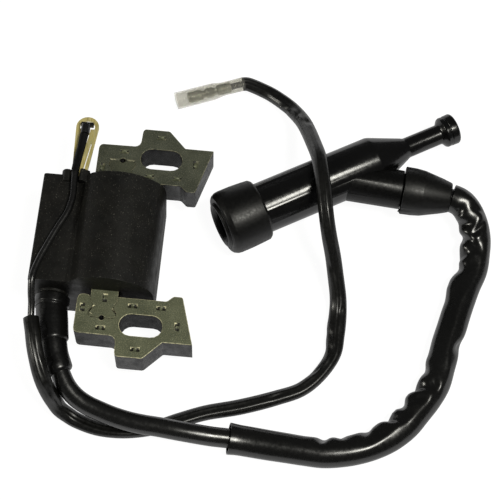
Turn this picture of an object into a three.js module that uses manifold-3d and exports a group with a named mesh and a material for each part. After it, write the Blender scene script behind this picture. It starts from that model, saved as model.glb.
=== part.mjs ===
// Flywheel-magneto ignition coil for a small four-stroke engine, with its
// high-tension lead, spark-plug cap and stop-switch lead.  Units: mm, +Z up.
// The coil lies on the potted back of its case, pole faces towards +X, the
// core bar along Y.  All coordinates below are in the coil's drawing frame and
// are shifted once by ORIGIN so that the base centre of the coil is (0,0,0).
import * as THREE from 'three';
import * as BufferGeometryUtils from 'three/addons/utils/BufferGeometryUtils.js';
import Module from 'manifold-3d';

const wasm = await Module();
wasm.setup();
const { Manifold, Mesh } = wasm;

// ------------------------------------------------------------ driving sizes
const ORIGIN = [-42.8, -2.54, 0];          // base centre of the coil in the drawing frame
const CORE_Z0 = 9.2;                       // underside of the lamination stack
const STACK = 11.5;                        // stack thickness
const CORE_Z1 = CORE_Z0 + STACK;
const BAR_X = -45.35;                      // centre of the core bar
const BAR_HALF = 4.4;
const BAR_ZC = (CORE_Z0 + CORE_Z1) / 2;
const LEG_IN = 20.85;                      // inner edge of each leg
const JOINT_Y = 28.35;                     // end of the dovetail
const JOINT_GAP = 0.15;
const SLOT_X = -32.5, SLOT_Y = 30.0, SLOT_LEN = 14.0, SLOT_W = 7.4;
const HOLE_R = 0.9;                        // locating hole at the dovetail end
const CASE_HALF = 19.03;                   // half length of the moulded case
const WALL = 1.7;
const TOWER_X = -62.8, TOWER_Z = 14.0, TOWER_R = 4.4, TOWER_END = -23.4;
const LEAD_R = 3.2;                        // 6.4 mm high-tension lead
const HT_SLEEVE_R = 5.0, HT_SLEEVE_BORE = 4.35;
const WIRE_R = 1.15;                       // 2.3 mm stop wire
const KILL_SLEEVE_R = 2.6, KILL_SLEEVE_BORE = 2.05;
const CAP_ANGLE = 30.45 * Math.PI / 180;    // cap axis on the table
const CAP_Z = 11.75;
const CAP_N = 15.74;                       // offset of the cap axis from the drawing origin
const CAP_R = 8.7;
const BRANCH_ANGLE = -4.4 * Math.PI / 180;
const BRANCH_S = 38.8;                     // where the lead branch meets the cap axis
const CON_A = [-31.34, 62.91, 3.05];       // open mouth of the connector sleeve
const CON_DIR = [0.92524, 0.37939, 0];
const TAB_Z0 = 22.0, TAB_T = 0.9;

// ------------------------------------------------------------ helpers
function solid(geo) {
  let g = geo.index ? geo.toNonIndexed() : geo.clone();
  for (const k of Object.keys(g.attributes)) if (k !== 'position') g.deleteAttribute(k);
  g = BufferGeometryUtils.mergeVertices(g, 1e-4);
  const p = g.attributes.position.array;
  const src = g.index.array;
  const idx = [];
  for (let i = 0; i < src.length; i += 3) {
    if (src[i] !== src[i + 1] && src[i + 1] !== src[i + 2] && src[i] !== src[i + 2]) idx.push(src[i], src[i + 1], src[i + 2]);
  }
  let vol = 0;
  for (let i = 0; i < idx.length; i += 3) {
    const [a, b, c] = [idx[i] * 3, idx[i + 1] * 3, idx[i + 2] * 3];
    vol += p[a] * (p[b + 1] * p[c + 2] - p[b + 2] * p[c + 1])
      - p[a + 1] * (p[b] * p[c + 2] - p[b + 2] * p[c])
      + p[a + 2] * (p[b] * p[c + 1] - p[b + 1] * p[c]);
  }
  if (vol < 0) for (let i = 0; i < idx.length; i += 3) [idx[i + 1], idx[i + 2]] = [idx[i + 2], idx[i + 1]];
  const m = new Mesh({ numProp: 3, vertProperties: new Float32Array(p), triVerts: new Uint32Array(idx) });
  m.merge();
  return new Manifold(m);
}
const shapeOf = pts => new THREE.Shape(pts.map(([x, y]) => new THREE.Vector2(x, y)));
// outline in X-Y, extruded from z0 to z1
function plate(pts, z0, z1) {
  const g = new THREE.ExtrudeGeometry(shapeOf(pts), { depth: z1 - z0, bevelEnabled: false, curveSegments: 8 });
  g.translate(0, 0, z0);
  return solid(g);
}
// outline in X-Z, extruded from y0 to y1
function prismY(pts, y0, y1) {
  const g = new THREE.ExtrudeGeometry(shapeOf(pts), { depth: y1 - y0, bevelEnabled: false });
  g.translate(0, 0, -y1);
  g.rotateX(Math.PI / 2);
  return solid(g);
}
function box(x0, x1, y0, y1, z0, z1) {
  const g = new THREE.BoxGeometry(x1 - x0, y1 - y0, z1 - z0);
  g.translate((x0 + x1) / 2, (y0 + y1) / 2, (z0 + z1) / 2);
  return solid(g);
}
function basis(origin, dir) {
  const d = new THREE.Vector3(...dir).normalize();
  const ref = Math.abs(d.z) > 0.9 ? new THREE.Vector3(1, 0, 0) : new THREE.Vector3(0, 0, 1);
  const b = new THREE.Vector3().crossVectors(ref, d).normalize();
  const a = new THREE.Vector3().crossVectors(d, b).normalize();
  const m = new THREE.Matrix4().makeBasis(a, d, b);
  m.setPosition(new THREE.Vector3(...origin));
  return m;
}
// closed profile of [radius, distance along dir]
function turned(profile, seg, origin, dir) {
  const pts = profile.map(([r, s]) => new THREE.Vector2(Math.max(r, 0), s));
  if (profile[0][0] > 1e-6 || profile[profile.length - 1][0] > 1e-6) {
    const [r0, s0] = profile[0], [r1, s1] = profile[profile.length - 1];
    if (Math.abs(r0 - r1) > 1e-6 || Math.abs(s0 - s1) > 1e-6) pts.push(pts[0].clone());
  }
  const g = new THREE.LatheGeometry(pts, seg);
  g.applyMatrix4(basis(origin, dir));
  return solid(g);
}
const rod = (r, seg, origin, dir, s0, s1) => turned([[0, s0], [r, s0], [r, s1], [0, s1]], seg, origin, dir);
const circlePts = (r, n, cx = 0, cy = 0, ph = 0) => Array.from({ length: n }, (_, i) => {
  const a = 2 * Math.PI * i / n + ph;
  return [cx + r * Math.cos(a), cy + r * Math.sin(a)];
});
function smooth(points) {
  return new THREE.CatmullRomCurve3(points.map(p => new THREE.Vector3(...p)), false, 'centripetal');
}
// dense polyline of a route, and the part of it between two given points
function densify(points, step) {
  const c = smooth(points);
  return c.getSpacedPoints(Math.ceil(c.getLength() / step));
}
function cutBetween(dense, from, to) {
  const a = new THREE.Vector3(...from), b = new THREE.Vector3(...to);
  let ia = 0, ib = 0;
  dense.forEach((p, i) => {
    if (p.distanceTo(a) < dense[ia].distanceTo(a)) ia = i;
    if (p.distanceTo(b) < dense[ib].distanceTo(b)) ib = i;
  });
  return dense.slice(Math.min(ia, ib), Math.max(ia, ib) + 1);
}
function sweep(dense, r, sides, steps, bore = 0) {
  const every = (dense.length - 1) / steps;
  const pts = [];
  for (let i = 0; i <= steps; i++) pts.push(dense[Math.round(i * every)]);
  const curve = new THREE.CatmullRomCurve3(pts, false, 'centripetal');
  const shape = shapeOf(circlePts(r, sides));
  if (bore > 0) shape.holes.push(new THREE.Path(circlePts(bore, sides).map(([x, y]) => new THREE.Vector2(x, y))));
  return solid(new THREE.ExtrudeGeometry(shape, { steps, bevelEnabled: false, extrudePath: curve, curveSegments: 1 }));
}
function roundRect(hx, hz, r, n = 4, cx = 0, cz = 0) {
  const out = [];
  for (const [sx, sz, a0] of [[1, 1, 0], [-1, 1, 90], [-1, -1, 180], [1, -1, 270]]) {
    for (let i = 0; i <= n; i++) {
      const a = (a0 + 90 * i / n) * Math.PI / 180;
      out.push([cx + sx * (hx - r) + r * Math.cos(a), cz + sz * (hz - r) + r * Math.sin(a)]);
    }
  }
  return out;
}

const group = new THREE.Group();
function add(name, man, color, roughness, metalness) {
  const shifted = man.translate([-ORIGIN[0], -ORIGIN[1], -ORIGIN[2]]);
  const bodies = shifted.decompose();
  if (bodies.length !== 1) throw new Error(`${name}: ${bodies.length} bodies`);
  const m = shifted.getMesh();
  const stride = m.numProp, nv = m.vertProperties.length / stride;
  const pos = new Float32Array(nv * 3);
  for (let i = 0; i < nv; i++) for (let k = 0; k < 3; k++) pos[i * 3 + k] = m.vertProperties[i * stride + k];
  let g = new THREE.BufferGeometry();
  g.setAttribute('position', new THREE.BufferAttribute(pos, 3));
  g.setIndex(new THREE.BufferAttribute(new Uint32Array(m.triVerts), 1));
  g = BufferGeometryUtils.mergeVertices(g, 1e-5);
  g.computeVertexNormals();
  const mesh = new THREE.Mesh(g, new THREE.MeshStandardMaterial({ color, roughness, metalness }));
  mesh.name = name;
  group.add(mesh);
}

// ------------------------------------------------------------ lamination core
const STEEL = 0x6c6e60;
// half width of the dovetail against |y|
const TAIL = [[20.6, 4.4], [21.9, 4.4], [22.7, 4.22], [23.6, 3.62], [24.4, 3.3], [25.3, 3.5], [26.1, 4.08],
  [26.8, 4.38], [27.5, 4.36], [28.0, 4.12], [JOINT_Y, 3.6]];
function legOutline() {
  const socketR = TAIL.slice(1).map(([y, h]) => [BAR_X + h + JOINT_GAP, y]);
  const socketL = TAIL.slice(1).map(([y, h]) => [BAR_X - h - JOINT_GAP, y]).reverse();
  return [
    [-53.95, 22.6], [-53.95, 32.6], [-53.75, 33.35], [-53.3, 33.9], [-52.6, 34.15],
    [-41.9, 34.28], [-41.1, 34.55], [-40.45, 35.1], [-40.1, 35.9], [-39.98, 36.8],
    [-39.88, 39.7], [-39.7, 40.5], [-39.3, 40.95], [-38.8, 41.1], [-31.2, 41.1], [-30.6, 40.85],
    [-25.1, 35.15], [-24.7, 35.05], [-15.4, 35.03], [-19.95, 19.45], [-20.15, 19.1], [-20.55, 18.9],
    [-22.75, 18.87], [-23.25, 19.1], [-24.75, 20.5], [-25.3, 20.8], [-25.9, LEG_IN],
    [BAR_X + BAR_HALF + JOINT_GAP, LEG_IN],
    ...socketR, [BAR_X + 3.6, JOINT_Y + 0.2], [BAR_X - 3.6, JOINT_Y + 0.2], ...socketL,
    [BAR_X - BAR_HALF - JOINT_GAP, 21.6], [-50.15, 21.1], [-50.6, 20.8], [-51.3, 20.7], [-52.5, 20.72],
    [-53.2, 20.95], [-53.7, 21.5],
  ];
}
function obround(cx, cy, len, w, n = 8) {
  const r = w / 2, h = len / 2 - r, out = [];
  for (let i = 0; i <= n; i++) { const a = -Math.PI / 2 + Math.PI * i / n; out.push([cx + h + r * Math.cos(a), cy + r * Math.sin(a)]); }
  for (let i = 0; i <= n; i++) { const a = Math.PI / 2 + Math.PI * i / n; out.push([cx - h + r * Math.cos(a), cy + r * Math.sin(a)]); }
  return out;
}
function leg() {
  return plate(legOutline(), CORE_Z0, CORE_Z1)
    .subtract(plate(obround(SLOT_X, SLOT_Y, SLOT_LEN, SLOT_W), CORE_Z0 - 1, CORE_Z1 + 1))
    .subtract(plate(circlePts(HOLE_R, 12, BAR_X, JOINT_Y + 0.1), CORE_Z0 - 1, CORE_Z1 + 1));
}
add('core_leg_upper', leg(), STEEL, 0.45, 0.85);
add('core_leg_lower', leg().mirror([0, 1, 0]), STEEL, 0.45, 0.85);
{
  const right = TAIL.map(([y, h]) => [BAR_X + h, y]);
  const left = TAIL.map(([y, h]) => [BAR_X - h, y]).reverse();
  const top = [...right, ...left];
  const outline = [...top, ...top.map(([x, y]) => [2 * BAR_X - x, -y])];
  const hole = s => plate(circlePts(HOLE_R, 12, BAR_X, s * (JOINT_Y + 0.1)), CORE_Z0 - 1, CORE_Z1 + 1);
  add('core_bar', plate(outline, CORE_Z0, CORE_Z1).subtract(hole(1)).subtract(hole(-1)), STEEL, 0.45, 0.85);
}

// ------------------------------------------------------------ moulded case
const BLACK = 0x141414;
const CASE_OUT = [
  [-70.0, 0], [-70.2, 24.3], [-69.9, 25.0], [-69.2, 25.3], [-60.2, 25.3], [-58.4, 25.05], [-57.3, 25.1], [-56.4, 25.9], [-55.2, 27.4],
  [-53.7, 28.8], [-51.6, 30.1], [-48.7, 31.05], [-45.7, 31.35], [-42.9, 31.2], [-40.4, 30.65], [-38.1, 29.75],
  [-36.0, 28.6], [-34.1, 27.3], [-32.5, 25.8], [-31.2, 24.2], [-30.3, 22.0], [-29.75, 19.6], [-29.65, 17.0], [-29.8, 10], [-30.1, 0],
];
const CASE_IN = [
  [-68.3, -1], [-68.45, 23.0], [-68.2, 23.55], [-60.2, 23.6], [-58.2, 23.4], [-56.3, 23.5], [-55.2, 24.7], [-54.0, 26.2],
  [-52.7, 27.35], [-50.9, 28.45], [-48.4, 29.3], [-45.7, 29.6], [-43.1, 29.5], [-40.9, 29.0], [-38.9, 28.25],
  [-37.0, 27.2], [-35.3, 26.0], [-33.8, 24.6], [-32.7, 23.2], [-31.95, 21.5], [-31.45, 19.4], [-31.35, 17.0], [-31.5, 10], [-31.8, -1],
];
const caseMan = prismY(CASE_OUT.slice().reverse(), -CASE_HALF, CASE_HALF)
  // wire guide lugs on the tab end
  .add(prismY([[-61.3, 24.0], [-61.3, 26.2], [-61.7, 26.6], [-62.8, 26.6], [-63.5, 26.2], [-64.2, 25.1], [-64.2, 24.0]], 16.4, 20.6))
  .add(prismY([[-55.0, 24.4], [-55.0, 26.5], [-57.0, 27.9], [-57.7, 28.0], [-58.15, 27.6], [-58.15, 24.0]], 16.4, 20.6))
  // high-tension tower
  .add(turned([[0, 16.5], [5.0, 16.5], [5.0, 19.7], [TOWER_R, 20.0], [TOWER_R, -TOWER_END - 0.3], [TOWER_R - 0.3, -TOWER_END], [0, -TOWER_END]], 24, [TOWER_X, 0, TOWER_Z], [0, -1, 0]))
  .subtract(prismY(CASE_IN.slice().reverse(), -CASE_HALF + WALL, CASE_HALF - WALL))
  .subtract(rod(LEAD_R + 0.4, 24, [TOWER_X, 0, TOWER_Z], [0, -1, 0], 15, 26))
  // windows for the core bar
  .subtract(box(BAR_X - BAR_HALF - 0.3, BAR_X + BAR_HALF + 0.3, -25, 25, CORE_Z0 - 0.3, CORE_Z1 + 0.3))
  // slot for the stop terminal
  .subtract(box(-62.05, -55.55, 15, 25, TAB_Z0 - 0.3, TAB_Z0 + TAB_T + 0.3));
add('coil_case', caseMan, BLACK, 0.55, 0);

add('potting_resin', box(-68.1, -32.2, -17.0, 17.0, 0.4, 2.2), 0x1d1b19, 0.35, 0);

// ------------------------------------------------------------ windings
const ring = (o, i, y0, y1) => prismY(o, y0, y1).subtract(prismY(i, y0 - 1, y1 + 1));
const rr = (hx, hz, r, n = 4) => roundRect(hx, hz, r, n, BAR_X, BAR_ZC);
add('primary_bobbin',
  ring(rr(5.5, 6.85, 0.8, 2), rr(4.7, 6.05, 0.4, 2), -15.4, 15.4)
    .add(ring(rr(7.6, 8.95, 1.2, 2), rr(4.7, 6.05, 0.4, 2), -15.4, -14.5))
    .add(ring(rr(7.6, 8.95, 1.2, 2), rr(4.7, 6.05, 0.4, 2), 14.5, 15.4)), 0x2b2b2b, 0.5, 0);
add('primary_winding', ring(rr(7.4, 8.75, 1.4, 3), rr(5.65, 7.0, 0.8, 3), -14.35, 14.35), 0xa8572a, 0.35, 0.9);
add('secondary_bobbin',
  ring(rr(8.7, 10.05, 2.2, 4), rr(7.85, 9.2, 1.5, 4), -15.4, 15.4)
    .add(ring(rr(11.2, 11.4, 5.9, 5), rr(7.85, 9.2, 1.5, 4), -15.4, -14.6))
    .add(ring(rr(11.2, 11.4, 5.9, 5), rr(7.85, 9.2, 1.5, 4), 14.6, 15.4)), 0x33312c, 0.5, 0);
add('secondary_winding', ring(rr(10.8, 11.0, 5.6, 5), rr(8.85, 10.2, 2.2, 5), -14.45, 14.45), 0x8e4a22, 0.4, 0.85);

// ------------------------------------------------------------ switching module
add('module_board', box(-67.9, -58.9, -8.5, 13.0, 15.6, 16.8), 0x2c4a2f, 0.5, 0);
add('power_transistor', box(-66.6, -60.6, -6.6, -0.2, 16.95, 19.6), 0x101010, 0.45, 0);
add('trigger_chip', box(-66.2, -62.2, 1.6, 6.6, 16.95, 18.6), 0x101010, 0.45, 0);
add('clamp_diode', rod(1.1, 12, [-60.4, 0, 18.05], [0, 1, 0], 2.0, 7.0), 0x222222, 0.4, 0);
add('bias_resistor', rod(0.95, 12, [-64.2, 0, 17.95], [0, 1, 0], 8.2, 12.4), 0xb49a6a, 0.5, 0);
add('ground_strap', box(-64.0, -50.05, 15.75, 16.55, 13.6, 15.3), 0xb0a890, 0.4, 0.9);
add('ht_terminal_pin', turned([[0, 7.0], [1.9, 7.0], [1.9, 8.2], [0.75, 8.4], [0.75, 14.4], [0, 16.0]], 14, [TOWER_X, 0, TOWER_Z - 1.6 + 1.6], [0, -1, 0])
  .subtract(box(-70, -55, -9, 0, 15.3, 20)), 0xc9a24a, 0.3, 0.9);

// ------------------------------------------------------------ stop terminal
{
  const eye = circlePts(3.85, 20, -58.45, 38.72);
  const outer = [[-62.26, 38.2], [-61.6, 24.5], [-61.6, 22.6], [-61.5, 12.6], [-57.0, 12.6], [-57.0, 16.2], [-56.35, 16.6], [-56.35, 22.4], [-54.66, 38.2]];
  const hole = [];                           // D-shaped eye, flat side toward the case
  for (let k = 0; k <= 14; k++) {
    const a = (-16.7 + 213.4 * k / 14) * Math.PI / 180;
    hole.push([-58.47 + 2.5 * Math.cos(a), 38.72 + 2.5 * Math.sin(a)]);
  }
  const gapSlot = [[-60.3, 38.2], [-60.35, 24.0], [-59.4, 24.0], [-57.5, 36.0], [-57.3, 38.2]];
  const fold = [[-56.55, 32.6], [-58.1, 22.0], [-57.65, 22.0], [-56.25, 32.6], [-56.2, 33.2]];
  const t = plate(outer.slice().reverse(), TAB_Z0, TAB_Z0 + TAB_T)
    .add(plate(eye, TAB_Z0, TAB_Z0 + TAB_T))
    .subtract(plate(hole, TAB_Z0 - 1, TAB_Z0 + 2))
    .subtract(plate(gapSlot, TAB_Z0 - 1, TAB_Z0 + 2))
    .subtract(plate(fold, TAB_Z0 - 1, TAB_Z0 + 2));
  add('stop_terminal', t, 0xb79a3c, 0.35, 0.9);
}
// crimped end of the stop wire, hooked through the eye
add('stop_wire_hook',
  box(-60.5, -56.3, 38.3, 39.55, 23.3, 24.9)
    .add(box(-59.0, -57.8, 38.35, 39.5, 21.2, 23.6))
    .add(rod(1.55, 12, [-58.8, 0, 24.6], [0, 1, 0], 35.2, 38.7)), 0x111111, 0.4, 0.2);

// ------------------------------------------------------------ routes
export const STOP_ROUTE = [
  [-59.0, 34.9, 24.6], [-59.15, 32.4, 24.6], [-59.42, 28.86, 24.8], [-59.8, 23.04, 26.0], [-59.82, 19.24, 26.75], [-59.64, 15.72, 26.75],
  [-59.35, 10.98, 26.75], [-60.21, 5.34, 26.75], [-62.59, -0.4, 26.75], [-64.93, -6.48, 26.75], [-67.17, -12.84, 26.75],
  [-68.28, -17.48, 26.75], [-68.5, -19.7, 26.55], [-68.5, -21.7, 25.6], [-68.35, -23.9, 24.2], [-68.03, -26.08, 22.8], [-67.9, -28.42, 21.6],
  [-67.73, -30.55, 20.90], [-66.45, -35.45, 21.30], [-65.40, -39.85, 20.70], [-64.15, -43.75, 19.60], [-62.69, -47.61, 17.60], [-61.22, -50.40, 15.40], [-59.62, -52.51, 12.20], [-58.11, -53.94, 8.90], [-56.20, -55.50, 6.00], [-53.62, -56.62, 4.00], [-50.95, -57.73, 3.00], [-43.88, -59.66, 2.70], [-36.38, -59.95, 2.7],
  [-29.68, -58.96, 2.7], [-23.4, -57.0, 2.7], [-17.51, -54.39, 2.7], [-9.68, -51.24, 2.7], [1.45, -48.1, 2.7],
  [12.87, -43.89, 2.7], [21.1, -39.98, 2.7], [26.91, -33.83, 2.7], [30.4, -26.8, 2.7], [30.78, -20.01, 2.7],
  [30.99, -11.19, 3.2], [30.59, -7.24, 5.0], [29.03, -1.29, 9.5], [27.54, 3.52, 14.0], [25.71, 8.02, 19.0],
  [24.33, 12.41, 22.6], [23.32, 16.86, 24.7], [22.49, 21.91, 25.5], [21.2, 28.58, 25.3], [20.04, 34.56, 23.8],
  [17.9, 42.4, 19.2], [14.42, 53.59, 11.6], [11.58, 59.41, 7.4], [8.17, 64.06, 4.6], [2.15, 68.84, 3.0],
  [-1.6, 70.6, 2.9], [-4.6, 71.7, 3.0], [-7.2, 72.35, 3.05], [-9.6, 71.82, 3.05], [-13.1, 70.39, 3.05],
];
export const LEAD_ROUTE = [
  [-62.8, -16.4, 14.0], [-62.8, -19.5, 14.0], [-62.72, -23.5, 14.0], [-61.81, -28.5, 14.0], [-60.6, -35.6, 13.8], [-58.86, -41.2, 13.2],
  [-56.57, -46.13, 12.3], [-54.29, -49.68, 11.4], [-51.25, -52.43, 10.4], [-47.67, -54.35, 9.6], [-43.49, -55.8, 9.1],
  [-38.64, -57.28, 8.9], [-33.53, -58.37, 8.8], [-28.8, -58.98, 8.8], [-23.78, -59.33, 8.8], [-17.78, -59.89, 8.7],
  [-11.5, -60.23, 8.0], [-6.51, -60.27, 7.0], [-1.05, -60.1, 6.0], [5.1, -60.32, 5.4], [11.59, -60.8, 5.2],
  [17.42, -61.24, 5.2], [23.25, -61.68, 5.2], [29.7, -61.89, 5.2], [36.37, -60.75, 5.2], [41.11, -59.29, 5.2],
  [45.82, -57.16, 5.2], [50.5, -54.18, 5.2], [55.13, -49.85, 5.2], [58.48, -45.1, 5.2], [61.84, -39.98, 5.2],
  [64.4, -34.8, 5.2], [65.85, -28.6, 5.2], [67.2, -20.8, 5.2], [69.5, -12.5, 5.2], [71.3, -5.4, 5.2],
  [73.1, 0.95, 5.2], [75.2, 6.9, 5.4], [75.79, 12.28, 6.0], [75.82, 17.44, 7.0], [74.78, 21.95, 8.4],
  [72.71, 25.89, 10.0], [69.8, 28.75, 11.3], [66.0, 30.1, 11.75], [60.0, 30.56, 11.75], [50.0, 31.33, 11.75], [38.5, 32.21, 11.75],
];
const stopDense = densify(STOP_ROUTE, 0.5);
const leadDense = densify(LEAD_ROUTE, 0.5);

// strain-relief boot on the tower: straight collar, bent nose
{
  const body = turned([[0, 20.3], [5.4, 20.3], [5.65, 20.6], [5.65, 23.4], [5.3, 23.7], [5.25, 24.6], [0, 24.6]], 24, [TOWER_X, 0, TOWER_Z], [0, -1, 0]);
  const upper = cutBetween(leadDense, [-62.6, -23.6, 14.0], [-60.55, -35.9, 13.8]);
  const lower = cutBetween(leadDense, [-60.75, -34.9, 13.8], [-56.9, -45.4, 12.45]);
  const bore = cutBetween(leadDense, [-62.8, -17, 14], [-53, -51, 11]);
  const m = body.add(sweep(upper, 5.2, 16, 4)).add(sweep(lower, 4.45, 16, 4))
    .subtract(rod(TOWER_R + 0.15, 24, [TOWER_X, 0, TOWER_Z], [0, -1, 0], 18, -TOWER_END + 0.2))
    .subtract(sweep(bore, LEAD_R + 0.35, 12, 12));
  add('ht_boot', m, 0x0e0e0e, 0.3, 0);
}

add('ht_lead', sweep(leadDense, LEAD_R, 10, 44), 0x0c0c0c, 0.25, 0);
add('ht_sleeve', sweep(cutBetween(leadDense, [-1.05, -60.1, 6.0], [69.9, 28.4, 11.2]), HT_SLEEVE_R, 10, 22, HT_SLEEVE_BORE), 0x101010, 0.25, 0);
add('stop_wire', sweep(stopDense, WIRE_R, 8, 66), 0x0c0c0c, 0.35, 0);
add('stop_sleeve', sweep(cutBetween(stopDense, [-67.73, -30.55, 20.90], [-7.1, 72.3, 3.05]), KILL_SLEEVE_R, 8, 42, KILL_SLEEVE_BORE), 0x111111, 0.3, 0);

// ------------------------------------------------------------ bullet connector
add('bullet_terminal', turned([[0, 4.2], [1.5, 4.2], [1.95, 4.7], [1.95, 9.4], [1.3, 9.8], [1.3, 10.6], [1.75, 11.2], [1.85, 12.3], [1.6, 13.6],
  [1.2, 14.2], [1.2, 14.8], [1.85, 15.2], [1.85, 17.8], [1.5, 18.2], [0, 18.2]], 12, CON_A, CON_DIR), 0x8d8f8c, 0.3, 0.95);
add('connector_sleeve', turned([[2.5, 0], [3.0, 0], [3.0, 13.2], [2.85, 14.6], [2.5, 16.4], [2.4, 18.0], [2.4, 23.9], [2.1, 23.9], [2.1, 18.0], [2.15, 16.2], [2.5, 14.0]],
  16, CON_A, CON_DIR), 0xdfe6e6, 0.15, 0);

// ------------------------------------------------------------ spark-plug cap
const CU = [Math.cos(CAP_ANGLE), Math.sin(CAP_ANGLE), 0];
const C0 = [-Math.sin(CAP_ANGLE) * CAP_N, Math.cos(CAP_ANGLE) * CAP_N, CAP_Z];
const at = s => [C0[0] + CU[0] * s, C0[1] + CU[1] * s, C0[2]];
const B0 = at(BRANCH_S);
const BU = [Math.cos(BRANCH_ANGLE), Math.sin(BRANCH_ANGLE), 0];
{
  const main = turned([[0, 0.9], [8.3, 0.9], [8.6, 1.2], [8.6, 11.7], [CAP_R, 11.8], [CAP_R, 54.6], [CAP_R - 0.3, 55.6], [4.0, 66.2], [3.5, 67.2], [3.45, 80.0],
    [4.1, 80.6], [5.05, 81.3], [5.3, 81.8], [5.3, 82.6], [5.1, 82.85], [5.1, 83.1], [5.35, 83.35], [5.4, 85.5], [5.1, 86.0], [2.6, 86.4], [0, 86.4]], 26, C0, CU);
  const branch = turned([[0, 2], [6.65, 2], [6.65, 23.9], [5.6, 24.0], [5.6, 32.0], [0, 32.0]], 22, B0, BU);
  const bores = turned([[0, 0], [6.2, 0], [6.2, 24.8], [3.4, 25.2], [3.4, 43.5], [0, 43.5]], 22, C0, CU)
    .add(turned([[0, 0], [3.5, 0], [3.5, 33.5], [0, 33.5]], 16, B0, BU));
  add('cap_body', main.add(branch).subtract(bores), 0x0d0d0d, 0.2, 0);
  add('cap_plug_boot', turned([[6.2, -3.2], [6.8, -3.65], [7.4, -3.65], [7.85, -3.3], [8.05, -2.7], [9.7, -2.7], [10.3, -2.2], [10.9, -1.0], [11.05, 0.2], [11.05, 4.5], [10.85, 8.4], [10.65, 10.8], [10.1, 11.5],
    [8.75, 11.5], [8.75, 0.6], [7.4, 0.4], [6.2, 0.2], [5.7, -0.6], [5.7, -2.2]], 26, C0, CU), 0x121212, 0.5, 0);
  add('cap_lead_boot', turned([[5.75, 24.25], [7.95, 24.25], [8.12, 24.5], [8.05, 28.0], [7.75, 31.0], [6.0, 37.4], [5.15, 40.1], [4.9, 40.6], [3.55, 40.6], [3.55, 32.3], [5.75, 32.3]], 22, B0, BU), 0x131313, 0.5, 0);
  add('cap_plug_contact', turned([[3.1, 15.8], [4.1, 15.8], [4.2, 16.2], [4.2, 23.6], [5.6, 23.6], [5.6, 24.5], [0, 24.5], [0, 22.8], [3.1, 22.8]], 20, C0, CU), 0xb08d3e, 0.3, 0.9);
  add('cap_snap_ring', sweep((() => {
    const out = [];
    for (let i = 0; i <= 60; i++) {
      const a = (20 + 320 * i / 60) * Math.PI / 180;
      const p = at(18.4);
      out.push(new THREE.Vector3(p[0] - CU[1] * 2.7 * Math.cos(a), p[1] + CU[0] * 2.7 * Math.cos(a), p[2] + 2.7 * Math.sin(a)));
    }
    return out;
  })(), 0.28, 6, 18), 0xb8b8b8, 0.25, 0.95);
  const coil = [];
  const turns = 4;
  for (let i = 0; i <= 160; i++) {
    const a = 2 * Math.PI * turns * i / 160, p = at(25.4 + 3.3 * i / 160);
    coil.push(new THREE.Vector3(p[0] - CU[1] * 2.2 * Math.cos(a), p[1] + CU[0] * 2.2 * Math.cos(a), p[2] + 2.2 * Math.sin(a)));
  }
  add('cap_contact_spring', sweep(coil, 0.32, 5, 40), 0xb8b8b8, 0.25, 0.95);
  add('cap_resistor', turned([[0, 29.4], [2.3, 29.4], [2.6, 29.7], [2.6, 35.3], [2.3, 35.6], [0, 35.6]], 18, C0, CU), 0xd9d2c2, 0.5, 0);
  add('cap_lead_screw', turned([[0, 0.4], [2.2, 0.4], [2.2, 2.6], [1.25, 2.9], [1.25, 9.6], [0, 12.2]], 16, B0, BU), 0xb08d3e, 0.3, 0.9);
}

export default group;
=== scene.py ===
import bpy, bmesh, math, json, random
from mathutils import Vector, Matrix, noise


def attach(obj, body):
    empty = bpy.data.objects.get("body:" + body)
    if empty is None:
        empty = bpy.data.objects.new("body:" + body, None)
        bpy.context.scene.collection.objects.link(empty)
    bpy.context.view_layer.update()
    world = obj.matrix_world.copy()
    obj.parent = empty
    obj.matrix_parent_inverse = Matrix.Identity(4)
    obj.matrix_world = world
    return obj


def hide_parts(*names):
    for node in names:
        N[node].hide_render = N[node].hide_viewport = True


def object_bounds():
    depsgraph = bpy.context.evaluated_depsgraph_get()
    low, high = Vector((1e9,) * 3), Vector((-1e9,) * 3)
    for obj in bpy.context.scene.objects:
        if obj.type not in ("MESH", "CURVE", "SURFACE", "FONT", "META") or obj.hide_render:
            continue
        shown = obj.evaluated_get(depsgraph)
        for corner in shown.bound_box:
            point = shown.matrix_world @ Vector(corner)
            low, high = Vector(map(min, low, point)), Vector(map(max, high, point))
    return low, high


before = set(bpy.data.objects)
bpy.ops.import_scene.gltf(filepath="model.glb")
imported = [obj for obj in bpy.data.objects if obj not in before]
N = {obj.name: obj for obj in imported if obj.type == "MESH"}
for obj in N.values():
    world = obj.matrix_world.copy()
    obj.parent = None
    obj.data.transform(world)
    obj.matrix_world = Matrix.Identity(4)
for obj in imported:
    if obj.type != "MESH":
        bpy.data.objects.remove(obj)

CAD_BOX = [list(map(float, c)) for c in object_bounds()]
COIL, BOOT, WSL = "coil", "plug_boot", "wire_sleeve"
MM = 0.001
OFF = Vector((42.8, 2.54, 0.0))          # drawing frame to row frame, mm


def P(x, y, z):
    return Vector(((x + OFF.x) * MM, (y + OFF.y) * MM, z * MM))


# ------------------------------------------------------------------ camera
cam_data = bpy.data.cameras.new("camera")
cam_data.lens = 113.75
cam_data.sensor_width = 36.0
cam_data.clip_start = 0.01
cam = bpy.data.objects.new("camera", cam_data)
bpy.context.scene.collection.objects.link(cam)
cr = Vector((0.9957595625, 0.0887344067, 0.0242713569))
cu = Vector((-0.0908888751, 0.9081669141, 0.4086221587))
cb = Vector((0.0142164014, -0.4090954183, 0.9123808594))
M = Matrix((cr, cu, cb)).transposed().to_4x4()
M.translation = Vector((0.05016, -0.209303, 0.493042))
cam.matrix_world = M
bpy.context.scene.camera = cam
scene = bpy.context.scene
coll = scene.collection


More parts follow.
